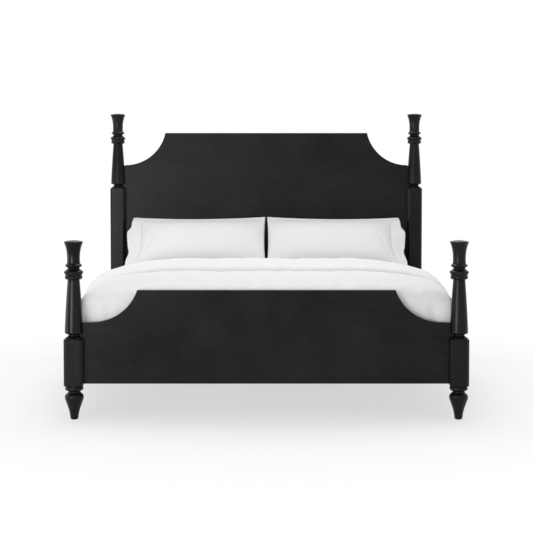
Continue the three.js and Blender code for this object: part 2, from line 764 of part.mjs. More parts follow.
for (const [name, side] of Object.entries(sides)) {
  place(`side_rail_${name}`, railGeometry(side), paint);
  place(`slat_ledger_${name}`, ledgerGeometry(side), pine);
}

for (let i = 0; i < slatCount; i += 1) {
  const label = String(i + 1).padStart(2, "0");
  place(`slat_${label}`, slatGeometry(), pine, 0, (i - (slatCount - 1) / 2) * slatPitch, slatBottom);
}

place("centre_beam", beamGeometry(), pine);
place("beam_hanger_foot", hangerGeometry(footPanelBack, 1), zinc);
place("beam_hanger_head", hangerGeometry(headPanelFront, -1), zinc);
legPlaces.forEach((y, i) => {
  place(`centre_leg_${i + 1}`, legGeometry(), pine, 0, y);
  place(`leveller_${i + 1}`, levellerGeometry(), zinc, 0, y);
});

place("mattress", mattressGeometry(), ticking);
place("duvet", duvetGeometry(), cotton);
for (const [name, side] of Object.entries(sides)) {
  place(`pillow_${name}`, pillowGeometry(side), cotton);
}

export default bed;
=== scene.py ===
from math import cos, pi, radians, sin, tau

import bmesh
import bpy
import numpy as np
from bpy.props import FloatProperty, FloatVectorProperty, IntProperty, PointerProperty
from mathutils import Matrix, Vector, noise


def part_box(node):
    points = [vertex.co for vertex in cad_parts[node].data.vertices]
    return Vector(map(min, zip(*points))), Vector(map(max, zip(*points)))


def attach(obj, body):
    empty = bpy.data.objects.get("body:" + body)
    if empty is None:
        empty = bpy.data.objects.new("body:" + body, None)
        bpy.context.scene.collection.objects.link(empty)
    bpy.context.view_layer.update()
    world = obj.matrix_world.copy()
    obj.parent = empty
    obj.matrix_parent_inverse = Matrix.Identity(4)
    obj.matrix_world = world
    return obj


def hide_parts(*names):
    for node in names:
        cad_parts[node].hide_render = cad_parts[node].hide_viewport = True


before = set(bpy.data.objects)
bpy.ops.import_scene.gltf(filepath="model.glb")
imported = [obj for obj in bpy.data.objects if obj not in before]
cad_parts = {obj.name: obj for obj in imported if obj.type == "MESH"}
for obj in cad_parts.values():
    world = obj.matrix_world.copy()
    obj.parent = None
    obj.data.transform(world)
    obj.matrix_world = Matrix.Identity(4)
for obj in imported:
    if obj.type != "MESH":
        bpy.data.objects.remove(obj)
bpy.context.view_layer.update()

bl_info = {
    "name": "Panel Bed",
    "version": (1, 0, 0),
    "blender": (4, 5, 0),
    "location": "3D View > Sidebar > Panel Bed",
    "description": "Dresses a painted panel bed: turned posts, scooped panels, slats and bedding",
    "category": "Add Mesh",
}

SIDES = {"left": -1, "right": 1}
MM = 0.001
WHITE = [1.0, 1.0, 1.0, 1.0]

KEPT_SHARP = radians(35)  # edges sharper than this stay sharp in a smooth piece
ROUNDED_FROM = radians(30)  # a board's edges sharper than this are rounded
SLAT_EDGE = 1.2 * MM
BEAM_EDGE = 1.5 * MM
HANGER_EDGE = 0.6 * MM
LEVELLER_EDGE = 0.4 * MM

# Turnings of a post, each moulding as curves of (corner radius, corner height, end radius,
# end height) in millimetres: the curve leaves the last end towards the corner
FOOT_START = (19.5, 4.3)  # radius and height of the toe, on the glide
FOOT_CURVES = (
    (20.8, 4.3, 21.0, 6.5),  # rounded toe
    (23.5, 34, 31, 59),  # slender ankle
    (37.5, 77.5, 45.5, 99),  # calf
    (49.8, 110.5, 49.8, 118),  # bulb
    (49.8, 129, 43, 134),  # shoulder
    (33, 141.5, 32, 147.5),  # neck
    (32.5, 152.5, 41, 154),
    (48, 156, 48, 165),  # collar
    (48, 173, 44.5, 176.5),
    (43, 178.5, 43, 187),  # quirk, which runs up into the block
)
FOOT_HEIGHT = 181 * MM
TOP_START = (43, -6)  # from the top of the block, and a little below it
POMMEL_CURVES = (
    (43, -1.5, 45, 0.3),  # quirk
    (46.8, 1, 46.5, 2.8),
    (46, 5.5, 41.5, 7.5),  # pommel
    (34, 12, 30, 16),
    (29, 18.5, 30, 21),  # neck
    (33, 25, 40, 26.3),
    (47.8, 28, 48.2, 35),  # foot of the taper
)
RING_CURVES = (  # from the top of the taper
    (33.5, 1.5, 40, 4),
    (46.3, 7, 46.3, 12),  # lower ring
    (46.3, 18, 43.2, 20.5),
    (44, 28.5, 47, 32.5),  # cove
    (50, 36, 49.8, 40),  # wide ring
    (49.8, 45.5, 43, 49),
    (33.5, 54.5, 31.2, 60.5),  # spool
    (31.2, 65, 36.5, 67.3),
    (44, 70.5, 44, 74.5),  # upper ring
    (44, 79, 38.5, 81.5),
    (34.2, 84, 33.8, 91),  # waist
    (33.2, 104, 33.4, 116),
    (33.6, 161, 49, 196),  # flare
    (49.6, 198.5, 48.4, 200.5),  # rim
    (47, 202, 40, 203.4),  # domed top
    (20, 207.8, 0.5, 208),
)
TAPER_TOP_RADIUS = 31.5
TAPER_SWELL = 2.6  # how far the taper swells out from a straight line, half-way up
CROWN_HEIGHT = 208  # from the top of the taper to the top of the crown
TAPER_LENGTH = {"foot": 274.5, "head": 264.5}

# Radius and height of a screw head's outline, in shares of its radius, with a hollow for the driver
SCREW_PROFILE = ((0, -0.35), (0.5, -0.35), (1, 0), (0.96, 0.08), (0, -0.12))
SCREW_SIDES = 12
SLAT_SCREW_RADIUS = 4 * MM
SLAT_SCREW_INSET = 16 * MM
HANGER_SCREW_RADIUS = 3.5 * MM
HANGER_SCREW_INSET = (11 * MM, 12 * MM)  # from the sheet's side and from its top and bottom
HANGER_SHEET = 3 * MM  # thickness

MATTRESS_ROUNDING = 38 * MM
MATTRESS_CUTS = 119  # cuts across each side of the block, for the quilting
QUILT_DEPTH = 10 * MM
QUILT_MARGIN = 60 * MM  # the quilting fades out this far from the edge
TAPE_INSET = 30 * MM  # from the mattress's top and bottom
TAPE_RADIUS = 4 * MM
TAPE_CORNER_STEPS = 10

TOUCH = 0.4 * MM  # left between two pieces that touch
DUVET_HALF_SPAN = 1.355  # from the middle of the cloth to its side hem
DUVET_LENGTH = 1.55
DUVET_TOP_SHARE = 0.85  # of the length, up to the turn behind the footboard
# The duvet's cross-section, in the order it leaves the middle of the bed: flat, sloping to the
# shoulder, turning over it, and hanging. The shares of the way out say where each stretch ends
DUVET_STRETCHES = (0.332, 0.694, 0.878)
DUVET_FLAT = 450 * MM
DUVET_CROWN_REACH = 60 * MM  # how far past half-way the slope bends
DUVET_CROWN = 78 * MM  # this high over the mattress in the middle
DUVET_SHOULDER = 34 * MM
DUVET_SHOULDER_INSET = 35 * MM
DUVET_SIDE_LEAN = 12 * MM
DUVET_SIDE_ROUND = 35 * MM
DUVET_SIDE_DEPTH = 125 * MM  # from the mattress's top down to where the sides hang straight
DUVET_SIDE_THICKNESS = 30 * MM
DUVET_OVERHANG = 81 * MM  # from the rail to where the sides hang
DUVET_HEM = 335 * MM
DUVET_TUCKED_HEM = 400 * MM
DUVET_POST_REACH = 22 * MM  # how far the tucked corners go past the posts' inner sides
DUVET_CORNER_DRAW = 75 * MM  # how much further in the sides hang just behind the foot posts
DUVET_CORNER_LENGTH = 90 * MM  # how far back from the foot the tucked corners reach
FOLD_PITCH = 236 * MM  # between the wide folds of the hanging sides
TUCK_HALF_WIDTH = 950 * MM  # of the edge tucked in behind the footboard
TUCK_HEIGHT = 380 * MM
TURNDOWN_REAR = 281 * MM
TURNDOWN_FRONT = -304 * MM
TURNDOWN_CROWN = 102 * MM
TURNDOWN_SHOULDER = 39 * MM

PILLOW_WHOLE = 908 * MM  # width of the case, with the flap
PILLOW_HEIGHT = 508 * MM
PILLOW_LOFT = 168 * MM
PILLOW_LEAN = radians(37)
PILLOW_POWER = 3.2  # how square the filling's outline is
PILLOW_COLUMNS = 96
PILLOW_ROWS = 54
FLAP_SHARE = 0.88  # share of the case's width where the stitched hem of the flap begins
FLAP_THICKNESS = 9 * MM

# How the cotton gives way while it settles
CLOTH = {
    "quality": 6,
    "mass": 0.25,
    "tension_stiffness": 12,
    "compression_stiffness": 12,
    "shear_stiffness": 6,
    "bending_stiffness": 2.5,
    "use_pressure": True,
}
SETTLING_FRAMES = 20


def linear(colour):
    """A hex colour such as #2B2A2A as linear red, green, blue and alpha."""
    parts = [int(colour[i : i + 2], 16) / 255 for i in (1, 3, 5)]
    return [c / 12.92 if c <= 0.04045 else ((c + 0.055) / 1.055) ** 2.4 for c in parts] + [1.0]


def bend(start, corner, end, t):
    """Points on a curve from start to end that leaves and arrives towards corner."""
    return start * (1 - t) ** 2 + corner * (2 * t * (1 - t)) + end * t**2


# Settings


class PostSettings(bpy.types.PropertyGroup):
    chamfer: FloatProperty(
        name="Chamfer", description="Width of the flat cut off each upright edge of a post's block",
        default=13.5 * MM, min=0.0, unit="LENGTH",
    )
    edge: FloatProperty(
        name="Soft edge", description="Rounding of the block's edges under the paint",
        default=1.4 * MM, min=0.0, unit="LENGTH",
    )
    sides: IntProperty(
        name="Turning sides", description="Faces round each turning", default=64, min=12,
    )
    curve_steps: IntProperty(
        name="Curve steps", description="Steps in each curve of a moulding", default=6, min=2,
    )


class PaintSettings(bpy.types.PropertyGroup):
    colour: FloatVectorProperty(
        name="Paint", description="Colour of the black paint",
        default=linear("#0F0F0F"), size=4, subtype="COLOR",
    )
    grain_length: FloatProperty(
        name="Grain length", description="Length of the streaks that the wood leaves in the paint",
        default=130 * MM, unit="LENGTH",
    )
    grain_width: FloatProperty(
        name="Grain width",
        description="Width of the streaks, drawn about five times the real 1 mm so that they show",
        default=5 * MM, unit="LENGTH",
    )
    panel_edge: FloatProperty(
        name="Panel edge", description="Rounding of the panels' and rails' edges",
        default=2.5 * MM, unit="LENGTH",
    )


class BeddingSettings(bpy.types.PropertyGroup):
    cotton: FloatVectorProperty(
        name="Cotton", description="Colour of the duvet cover and the pillowcases",
        default=linear("#F3F3F2"), size=4, subtype="COLOR",
    )
    spacing: FloatProperty(
        name="Cloth spacing",
        description="Distance between the points of the duvet's mesh before it is subdivided",
        default=18.5 * MM, unit="LENGTH",
    )
    puff: FloatProperty(
        name="Puff", description="Height of the soft swells in the filling",
        default=3.5 * MM, unit="LENGTH",
    )
    quilting: FloatProperty(
        name="Quilting", description="Distance between the mattress's quilting lines",
        default=190 * MM, unit="LENGTH",
    )


class StageSettings(bpy.types.PropertyGroup):
    floor_radius: FloatProperty(
        name="Floor radius", description="Radius of the floor", default=12.0, unit="LENGTH",
    )
    sky: FloatProperty(
        name="Room light", description="Strength of the even light of the room", default=0.5,
    )
    key: FloatProperty(
        name="Key light",
        description="Power of the wide lamp at the front left, low enough to shine in the turnings",
        default=66.0, unit="POWER",
    )
    wide: FloatProperty(
        name="Wide light", description="Power of the largest, weak lamp at the front left",
        default=36.0, unit="POWER",
    )
    side: FloatProperty(
        name="Side light", description="Power of the lamp at the left", default=16.0, unit="POWER",
    )
    top: FloatProperty(
        name="Top light", description="Power of the lamp overhead", default=102.0, unit="POWER",
    )


class BedSettings(bpy.types.PropertyGroup):
    posts: PointerProperty(type=PostSettings)
    paint: PointerProperty(type=PaintSettings)
    bedding: PointerProperty(type=BeddingSettings)
    stage: PointerProperty(type=StageSettings)


# Materials


def add_node(tree, kind, inputs=None, stops=(), **settings):
    """Adds a shader node with its settings.

    An input is given a value, a node whose first output is linked to it, or a pair of a node and
    one of its outputs. stops are the places and colours of a colour ramp.
    """
    node = tree.nodes.new("ShaderNode" + kind)
    for name, value in settings.items():
        setattr(node, name, value)
    for name, value in (inputs or {}).items():
        source, output = value if isinstance(value, tuple) else (value, 0)
        if isinstance(source, bpy.types.Node):
            tree.links.new(source.outputs[output], node.inputs[name])
        else:
            node.inputs[name].default_value = source
    for _ in stops[2:]:
        node.color_ramp.elements.new(0.5)
    for i, (position, colour) in enumerate(stops):
        node.color_ramp.elements[i].position = position
        node.color_ramp.elements[i].color = colour
    return node


def new_material(name):
    """An empty node material, its tree and the output that gives the place on the object."""
    material = bpy.data.materials.new(name)
    material.use_nodes = True
    tree = material.node_tree
    tree.nodes.clear()
    return material, tree, (add_node(tree, "TexCoord"), "Object")


def along(axis, length, width):
    """The scale that stretches a noise pattern into streaks of that length and width along an axis."""
    scale = [1 / width] * 3
    scale["XYZ".index(axis)] = 1 / length
    return scale


def bands(width):
    """The scale at which the straight bands of a wave texture are that far apart."""
    return tau / 20 / width


def shade(colour, factor):
    """A colour made lighter or darker."""
    return [min(1.0, c * factor) for c in colour[:3]] + [1.0]


def satin_black_paint(name, axis):
    """Water-based black enamel brushed on wood: a satin film that follows the grain of the board."""
    paint = bpy.context.scene.panel_bed.paint
    material, tree, place = new_material(name)
    grain = along(axis, paint.grain_length, paint.grain_width)
    stretch = add_node(tree, "Mapping", {"Vector": place, "Scale": grain})
    streaks = add_node(
        tree, "TexNoise",
        {"Vector": stretch, "Scale": 1.0, "Detail": 3.0, "Roughness": 0.55, "Distortion": 0.35},
    )
    clouds = add_node(
        tree, "TexNoise", {"Vector": place, "Scale": 1 / (278 * MM), "Detail": 4.0, "Roughness": 0.55}
    )
    # Two thirds of the unevenness is the brushed coat's, one third the wood's
    wood = add_node(tree, "Math", {0: streaks, 1: 0.36}, operation="MULTIPLY")
    both = add_node(tree, "Math", {0: clouds, 1: 0.64, 2: wood}, operation="MULTIPLY_ADD")
    stops = [(0.36, shade(paint.colour, 0.3)), (0.64, shade(paint.colour, 2.3))]
    tint = add_node(tree, "ValToRGB", {"Fac": both}, stops)
    gloss = add_node(
        tree, "MapRange",
        {"Value": both, "From Min": 0.3, "From Max": 0.7, "To Min": 0.21, "To Max": 0.29},
    )
    relief = add_node(tree, "Bump", {"Height": streaks, "Strength": 0.16, "Distance": 0.6 * MM})
    shader = add_node(
        tree, "BsdfPrincipled",
        {
            "Base Color": tint, "Roughness": gloss, "Normal": relief, "IOR": 1.45,
            "Specular IOR Level": 0.2,
        },
    )
    add_node(tree, "OutputMaterial", {"Surface": shader})
    return material


def planed_pine(name, axis):
    """Planed softwood, unfinished: pale wood between darker, sharper lines of late growth."""
    material, tree, place = new_material(name)
    stretch = add_node(tree, "Mapping", {"Vector": place, "Scale": along(axis, 900 * MM, 60 * MM)})
    # Growth rings about 15 mm apart, drawn four times as wide as real ones so that they show
    rings = add_node(
        tree, "TexWave",
        {"Vector": stretch, "Scale": 1.9, "Distortion": 5.0, "Detail": 3.0, "Detail Scale": 1.2},
        bands_direction="DIAGONAL",
    )
    stops = [(0.0, linear("#B98A55")), (0.35, linear("#D9B27C")), (1.0, linear("#E8CBA0"))]
    tint = add_node(tree, "ValToRGB", {"Fac": rings}, stops)
    fibres = add_node(tree, "Mapping", {"Vector": place, "Scale": along(axis, 60 * MM, 1.6 * MM)})
    fine = add_node(tree, "TexNoise", {"Vector": fibres, "Scale": 1.0, "Detail": 3.0})
    relief = add_node(tree, "Bump", {"Height": fine, "Strength": 0.3, "Distance": 0.5 * MM})
    gloss = add_node(tree, "MapRange", {"Value": fine, "To Min": 0.6, "To Max": 0.78})
    shader = add_node(
        tree, "BsdfPrincipled",
        {
            "Base Color": tint, "Roughness": gloss, "Normal": relief, "IOR": 1.5,
            "Specular IOR Level": 0.3,
        },
    )
    add_node(tree, "OutputMaterial", {"Surface": shader})
    return material


def zinc_plated_steel():
    """Bright zinc on pressed steel: a cool metal with patches a few millimetres wide."""
    material, tree, place = new_material("zinc_plated_steel")
    patches = add_node(tree, "TexVoronoi", {"Vector": place, "Scale": 1 / (5 * MM), "Randomness": 1.0})
    stops = [(0.0, linear("#8E9398")), (1.0, linear("#B9BDC1"))]
    tint = add_node(tree, "ValToRGB", {"Fac": patches}, stops)
    gloss = add_node(tree, "MapRange", {"Value": patches, "To Min": 0.28, "To Max": 0.42})
    shader = add_node(tree, "BsdfPrincipled", {"Base Color": tint, "Roughness": gloss, "Metallic": 1.0})
    add_node(tree, "OutputMaterial", {"Surface": shader})
    return material


def moulded_nylon():
    """Black nylon from a textured mould: matt, with a grain just under a millimetre wide."""
    material, tree, place = new_material("moulded_nylon")
    grain = add_node(tree, "TexNoise", {"Vector": place, "Scale": 1 / (0.8 * MM), "Detail": 2.0})
    relief = add_node(tree, "Bump", {"Height": grain, "Strength": 0.2, "Distance": 0.2 * MM})
    stops = [(0.0, linear("#1A1B1D")), (1.0, linear("#26272A"))]
    tint = add_node(tree, "ValToRGB", {"Fac": grain}, stops)
    shader = add_node(
        tree, "BsdfPrincipled", {"Base Color": tint, "Normal": relief, "Roughness": 0.55, "IOR": 1.53}
    )
    add_node(tree, "OutputMaterial", {"Surface": shader})
    return material


def knitted_ticking():
    """Knitted polyester ticking: off-white, its loops drawn 3 mm wide, twice the real size, to show."""
    material, tree, place = new_material("knitted_ticking")
    wave = {"Vector": place, "Scale": bands(3 * MM), "Distortion": 0.6}
    waves = [add_node(tree, "TexWave", wave, bands_direction=axis) for axis in "XYZ"]
    pair = add_node(tree, "Math", {0: waves[0], 1: waves[1]}, operation="ADD")
    loops = add_node(tree, "Math", {0: pair, 1: waves[2]}, operation="ADD")
    relief = add_node(tree, "Bump", {"Height": loops, "Strength": 0.25, "Distance": 0.6 * MM})
    clouds = add_node(tree, "TexNoise", {"Vector": place, "Scale": 1 / (111 * MM), "Detail": 3.0})
    stops = [(0.3, linear("#E9E8E4")), (0.7, linear("#EDECE9"))]
    tint = add_node(tree, "ValToRGB", {"Fac": clouds}, stops)
    shader = add_node(
        tree, "BsdfPrincipled",
        {
            "Base Color": tint, "Normal": relief, "Roughness": 0.92, "Specular IOR Level": 0.2,
            "Sheen Weight": 0.15, "Sheen Roughness": 0.5,
        },
    )
    add_node(tree, "OutputMaterial", {"Surface": shader})
    return material


def percale_cotton(name, painted_shade_factor=1.0, hem=-1.0):
    """White percale: a plain weave, drawn with threads 2 mm apart instead of a quarter of one, to show.

    painted_shade_factor darkens the whole cloth's colour as painted shade, 1 for none, and hem is how
    far along the cloth a row of stitches holds a hem.
    """
    material, tree, place = new_material(name)
    cloth = add_node(tree, "UVMap", uv_map="cloth")
    wave = {"Vector": cloth, "Scale": bands(2 * MM), "Distortion": 0.4}
    threads = [add_node(tree, "TexWave", wave, bands_direction=axis) for axis in "XY"]
    weave = add_node(tree, "Math", {0: threads[0], 1: threads[1]}, operation="MULTIPLY")
    creases_and_shade = add_node(
        tree, "TexNoise",
        {
            "Vector": place, "Scale": 1 / (71.4 * MM), "Detail": 5.0, "Roughness": 0.55,
            "Distortion": 0.8,
        },
    )
    fine = add_node(tree, "Bump", {"Height": weave, "Strength": 0.12, "Distance": 0.4 * MM})
    relief = add_node(
        tree, "Bump", {"Height": creases_and_shade, "Normal": fine, "Strength": 0.3, "Distance": 4 * MM}
    )
    # The whole cloth is darkened by painted_shade_factor: painted shade
    pale = shade(bpy.context.scene.panel_bed.bedding.cotton, painted_shade_factor)
    # The colour follows the crease relief and is up to 2.5 % darker in its hollows: painted shade
    tint = add_node(tree, "ValToRGB", {"Fac": creases_and_shade}, [(0.2, shade(pale, 0.975)), (0.8, pale)])
    # The row of stitches: a 3 mm groove, drawn wider than the thread, with a stitch every 7 mm. Painted
    # shade darkens the groove's colour to as little as 62 % of the cloth's
    parts = add_node(tree, "SeparateXYZ", {0: cloth})
    off_hem = add_node(tree, "Math", {0: (parts, "X"), 1: hem}, operation="SUBTRACT")
    away = add_node(tree, "Math", {0: off_hem}, operation="ABSOLUTE")
    groove = add_node(
        tree, "MapRange", {"Value": away, "From Max": 3 * MM, "To Min": 1.0, "To Max": 0.0}
    )
    beat = add_node(tree, "Math", {0: (parts, "Y"), 1: tau / (7 * MM)}, operation="MULTIPLY")
    stitch = add_node(tree, "Math", {0: beat}, operation="SINE")
    dash = add_node(tree, "MapRange", {"Value": stitch, "From Min": -1.0, "To Min": 0.5})
    groove_depth_and_shade = add_node(tree, "Math", {0: groove, 1: dash}, operation="MULTIPLY")
    sewn = add_node(
        tree, "Bump", {"Height": groove_depth_and_shade, "Normal": relief, "Strength": 0.6, "Distance": 3 * MM},
        invert=True,
    )
    # Painted shade in the stitched groove: the colour darkens towards 62 % of the cloth's where the
    # groove is deepest
    tint_with_groove_shade = add_node(tree, "Mix", {0: groove_depth_and_shade, 6: tint, 7: shade(pale, 0.62)}, data_type="RGBA")
    shader = add_node(
        tree, "BsdfPrincipled",
        {
            "Base Color": (tint_with_groove_shade, 2), "Normal": sewn, "Roughness": 0.85, "Specular IOR Level": 0.2,
            "Sheen Weight": 0.1, "Sheen Roughness": 0.45,
        },
    )
    add_node(tree, "OutputMaterial", {"Surface": shader})
    return material


# Making and finishing pieces


def add_object(name, data):
    """Adds an object with a mesh, a lamp or a camera for its data."""
    made = bpy.data.objects.new(name, data)
    bpy.context.scene.collection.objects.link(made)
    return made


def finish_piece(name, bm, material, body, replaces=(), fill=None):
    """Makes an object of a bmesh, gives it its finish and its body, and returns it.

    A piece with a fill is smooth all over, and the amount of its fill is not used. Another keeps its
    flat faces and sharp edges.
    """
    mesh = bpy.data.meshes.new(name)
    bm.to_mesh(mesh)
    bm.free()
    mesh.polygons.foreach_set("use_smooth", [True] * len(mesh.polygons))
    mesh.materials.append(material)
    piece = add_object(name, mesh)
    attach(piece, body)
    if fill is None:
        mesh.set_sharp_from_angle(angle=KEPT_SHARP)
        piece.modifiers.new("flat_faces", "WEIGHTED_NORMAL").keep_sharp = True
    if replaces:
        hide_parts(*replaces)
    return piece


def edges_at(verts):
    """The edges at vertices, each once."""
    return list(dict.fromkeys(e for v in verts for e in v.link_edges))


def bevel(bm, edges, width, segments):
    """Cuts edges off, or rounds them with more than one segment."""
    return bmesh.ops.bevel(
        bm, geom=edges, offset=width, offset_type="OFFSET", segments=segments, profile=0.5,
        affect="EDGES", clamp_overlap=True, material=-1,
    )


def softened_copy(node, name, material, body, width):
    """A copy of a CAD node with its edges rounded, in the node's place."""
    bm = bmesh.new()
    bm.from_mesh(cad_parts[node].data)
    bmesh.ops.remove_doubles(bm, verts=bm.verts[:], dist=0.02 * MM)
    bmesh.ops.dissolve_limit(bm, angle_limit=radians(1), verts=bm.verts[:], edges=bm.edges[:])
    sharp = [e for e in bm.edges if e.is_manifold and e.calc_face_angle(0.0) > ROUNDED_FROM]
    bevel(bm, sharp, width, 2)
    return finish_piece(name, bm, material, body, [node])


def turn_profile(bm, profile, unit, sides):
    """Turns a profile of radii and heights, which begins and ends on the axis, about the Z axis."""
    verts = [bm.verts.new((radius * unit, 0, height * unit)) for radius, height in profile]
    edges = [bm.edges.new(pair) for pair in zip(verts, verts[1:])]
    bmesh.ops.spin(
        bm, geom=verts + edges, cent=(0, 0, 0), axis=(0, 0, 1), angle=tau, steps=sides, use_merge=True
    )
    bmesh.ops.remove_doubles(bm, verts=bm.verts[:], dist=0.01 * MM)


def join(bm, other):
    """Adds another bmesh's shape to a bmesh and frees the other."""
    mesh = bpy.data.meshes.new("joined")
    other.to_mesh(mesh)
    other.free()
    bm.from_mesh(mesh)
    bpy.data.meshes.remove(mesh)


# Turned posts


def add_curves(profile, curves, base=0):
    """Adds curves to a profile of radii and heights, with the curves' heights taken from a base."""
    steps = bpy.context.scene.panel_bed.posts.curve_steps
    for corner_radius, corner_height, end_radius, end_height in curves:
        start = Vector(profile[-1])
        corner = Vector((corner_radius, corner_height + base))
        end = Vector((end_radius, end_height + base))
        for i in range(1, steps + 1):
            profile.append(tuple(bend(start, corner, end, i / steps)))


def foot_profile():
    """Radius and height of the vase-shaped foot."""
    profile = [(0, FOOT_START[1]), FOOT_START]
    add_curves(profile, FOOT_CURVES)
    return [*profile, (0, profile[-1][1])]


def top_profile(block_top, taper):
    """Radius and height of the pommel, the taper, the rings and the flared crown."""
    start_radius, start_height = TOP_START
    profile = [(0, block_top + start_height), (start_radius, block_top + start_height)]
    add_curves(profile, POMMEL_CURVES, block_top)
    foot_radius, foot_height = profile[-1]
    middle_radius = (foot_radius + TAPER_TOP_RADIUS) / 2 + TAPER_SWELL
    add_curves(profile, [(middle_radius, taper / 2, TAPER_TOP_RADIUS, taper)], foot_height)
    add_curves(profile, RING_CURVES, foot_height + taper)
    return [*profile, (0, profile[-1][1])]


def chamfered_block(bm, bottom, top, side):
    """Adds a square block with its upright edges cut off and every edge a little rounded."""
    posts = bpy.context.scene.panel_bed.posts
    block = bmesh.ops.create_cube(bm, size=1)["verts"]
    bmesh.ops.scale(bm, vec=(side, side, top - bottom), verts=block)
    bmesh.ops.translate(bm, vec=(0, 0, (top + bottom) / 2), verts=block)
    upright = [e for e in edges_at(block) if abs(e.verts[0].co.z - e.verts[1].co.z) > side]
    cut = bevel(bm, upright, posts.chamfer, 1)
    bevel(bm, edges_at(v for f in cut["faces"] for v in f.verts), posts.edge, 2)


class PANELBED_OT_posts(bpy.types.Operator):
    """Add the four turned posts"""

    bl_idname = "panel_bed.posts"
    bl_label = "Turned Posts"

    def execute(self, context):
        paint = satin_black_paint("satin_black_paint_on_turned_wood", "Z")
        sides = context.scene.panel_bed.posts.sides
        for board, taper in TAPER_LENGTH.items():
            for side in SIDES:
                node = f"{board}_post_{side}"
                low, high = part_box(node)
                block_top = high.z / MM - CROWN_HEIGHT - taper - POMMEL_CURVES[-1][3]
                bm = bmesh.new()
                turn_profile(bm, foot_profile(), MM, sides)
                turn_profile(bm, top_profile(block_top, taper), MM, sides)
                chamfered_block(bm, FOOT_HEIGHT, block_top * MM, high.x - low.x)
                bmesh.ops.recalc_face_normals(bm, faces=bm.faces[:])
                middle = (low + high) / 2
                bmesh.ops.translate(bm, vec=(middle.x, middle.y, 0), verts=bm.verts[:])
                finish_piece(f"{node}_turned", bm, paint, "frame", [node])
        return {"FINISHED"}


class PANELBED_OT_panels(bpy.types.Operator):
    """Add the scooped headboard and footboard panels"""

    bl_idname = "panel_bed.panels"
    bl_label = "Head and Foot Panels"

    def execute(self, context):
        edge = context.scene.panel_bed.paint.panel_edge
        paint = satin_black_paint("satin_black_paint_on_panels", "X")
        for board in ("footboard", "headboard"):
            node = f"{board}_panel"
            softened_copy(node, f"{board}_scooped_panel", paint, "frame", edge)
        return {"FINISHED"}


class PANELBED_OT_rails(bpy.types.Operator):
    """Add the side rails and the ledgers that carry the slats"""

    bl_idname = "panel_bed.rails"
    bl_label = "Side Rails"

    def execute(self, context):
        edge = context.scene.panel_bed.paint.panel_edge
        paint = satin_black_paint("satin_black_paint_on_rails", "Y")
        pine = planed_pine("planed_pine_cleats", "Y")
        for side in SIDES:
            rail = f"side_rail_{side}"
            ledger = f"slat_ledger_{side}"
            softened_copy(rail, f"{rail}_eased", paint, "frame", edge / 2)
            softened_copy(ledger, f"{ledger}_planed", pine, "frame", edge / 2)
        return {"FINISHED"}


def countersunk_screw(bm, centre, axis, radius):
    """Adds a flat screw head that faces along an axis."""
    head = bmesh.new()
    turn_profile(head, SCREW_PROFILE, radius, SCREW_SIDES)
    bmesh.ops.recalc_face_normals(head, faces=head.faces[:])
    turn = Vector((0, 0, 1)).rotation_difference(Vector(axis)).to_matrix().to_4x4()
    bmesh.ops.transform(head, matrix=Matrix.Translation(centre) @ turn, verts=head.verts[:])
    join(bm, head)


class PANELBED_OT_slats(bpy.types.Operator):
    """Add the thirteen slats and the screws that hold them"""

    bl_idname = "panel_bed.slats"
    bl_label = "Slats"

    def execute(self, context):
        pine = planed_pine("planed_pine_slats", "X")
        screws = bmesh.new()
        for node in sorted(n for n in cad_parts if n.startswith("slat_") and n[-1].isdigit()):
            softened_copy(node, f"{node}_planed", pine, "frame", SLAT_EDGE)
            low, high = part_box(node)
            middle = (low.y + high.y) / 2
            for x in (low.x + SLAT_SCREW_INSET, high.x - SLAT_SCREW_INSET):
                countersunk_screw(screws, (x, middle, high.z), (0, 0, 1), SLAT_SCREW_RADIUS)
        finish_piece("slat_screws", screws, zinc_plated_steel(), "frame")
        return {"FINISHED"}


class PANELBED_OT_support(bpy.types.Operator):
    """Add the centre beam, its hangers, the two legs and their levelling feet"""

    bl_idname = "panel_bed.support"
    bl_label = "Centre Support"

    def execute(self, context):
        beam = planed_pine("planed_pine_beam", "Y")
        leg = planed_pine("planed_pine_legs", "Z")
        zinc = zinc_plated_steel()
        softened_copy("centre_beam", "centre_beam_planed", beam, "frame", BEAM_EDGE)
        screws = bmesh.new()
        inset_x, inset_z = HANGER_SCREW_INSET
        for end, facing in (("foot", 1), ("head", -1)):
            node = f"beam_hanger_{end}"
            softened_copy(node, f"{node}_pressed", zinc, "frame", HANGER_EDGE)
            low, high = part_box(node)
            sheet = (low.y if facing > 0 else high.y) + facing * HANGER_SHEET
            for x in (low.x + inset_x, high.x - inset_x):
                for z in (low.z + inset_z, high.z - inset_z):
                    countersunk_screw(screws, (x, sheet, z), (0, facing, 0), HANGER_SCREW_RADIUS)
        finish_piece("hanger_screws", screws, zinc, "frame")
        for number in ("1", "2"):
            node = f"centre_leg_{number}"
            softened_copy(node, f"{node}_planed", leg, "frame", BEAM_EDGE)
            node = f"leveller_{number}"
            softened_copy(node, f"{node}_turned", zinc, node, LEVELLER_EDGE)
        return {"FINISHED"}


class PANELBED_OT_fittings(bpy.types.Operator):
    """Finish the hook plates, the slotted plates and the glides"""

    bl_idname = "panel_bed.fittings"
    bl_label = "Fittings"

    def execute(self, context):
        finishes = {"_plate_": zinc_plated_steel(), "_glide_": moulded_nylon()}
        for node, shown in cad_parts.items():
            for part, finish in finishes.items():
                if part in node:
                    shown.data.materials.clear()
                    shown.data.materials.append(finish)
        return {"FINISHED"}


# Soft pieces


def ease(value):
    """Between 0 and 1, with level ends."""
    value = np.clip(value, 0, 1)
    return value * value * (3 - 2 * value)


def rounded(distance, reach):
    """From 0 at an edge to 1 at a distance from it, as a quarter circle."""
    return np.sqrt(1 - (1 - np.clip(distance / reach, 0, 1)) ** 2)


def wander(x, y, size, seed):
    """Smooth noise between about -1 and 1, in swells of about that size."""
    return np.array([noise.noise(Vector((a / size, b / size, seed))) for a, b in zip(x, y)])


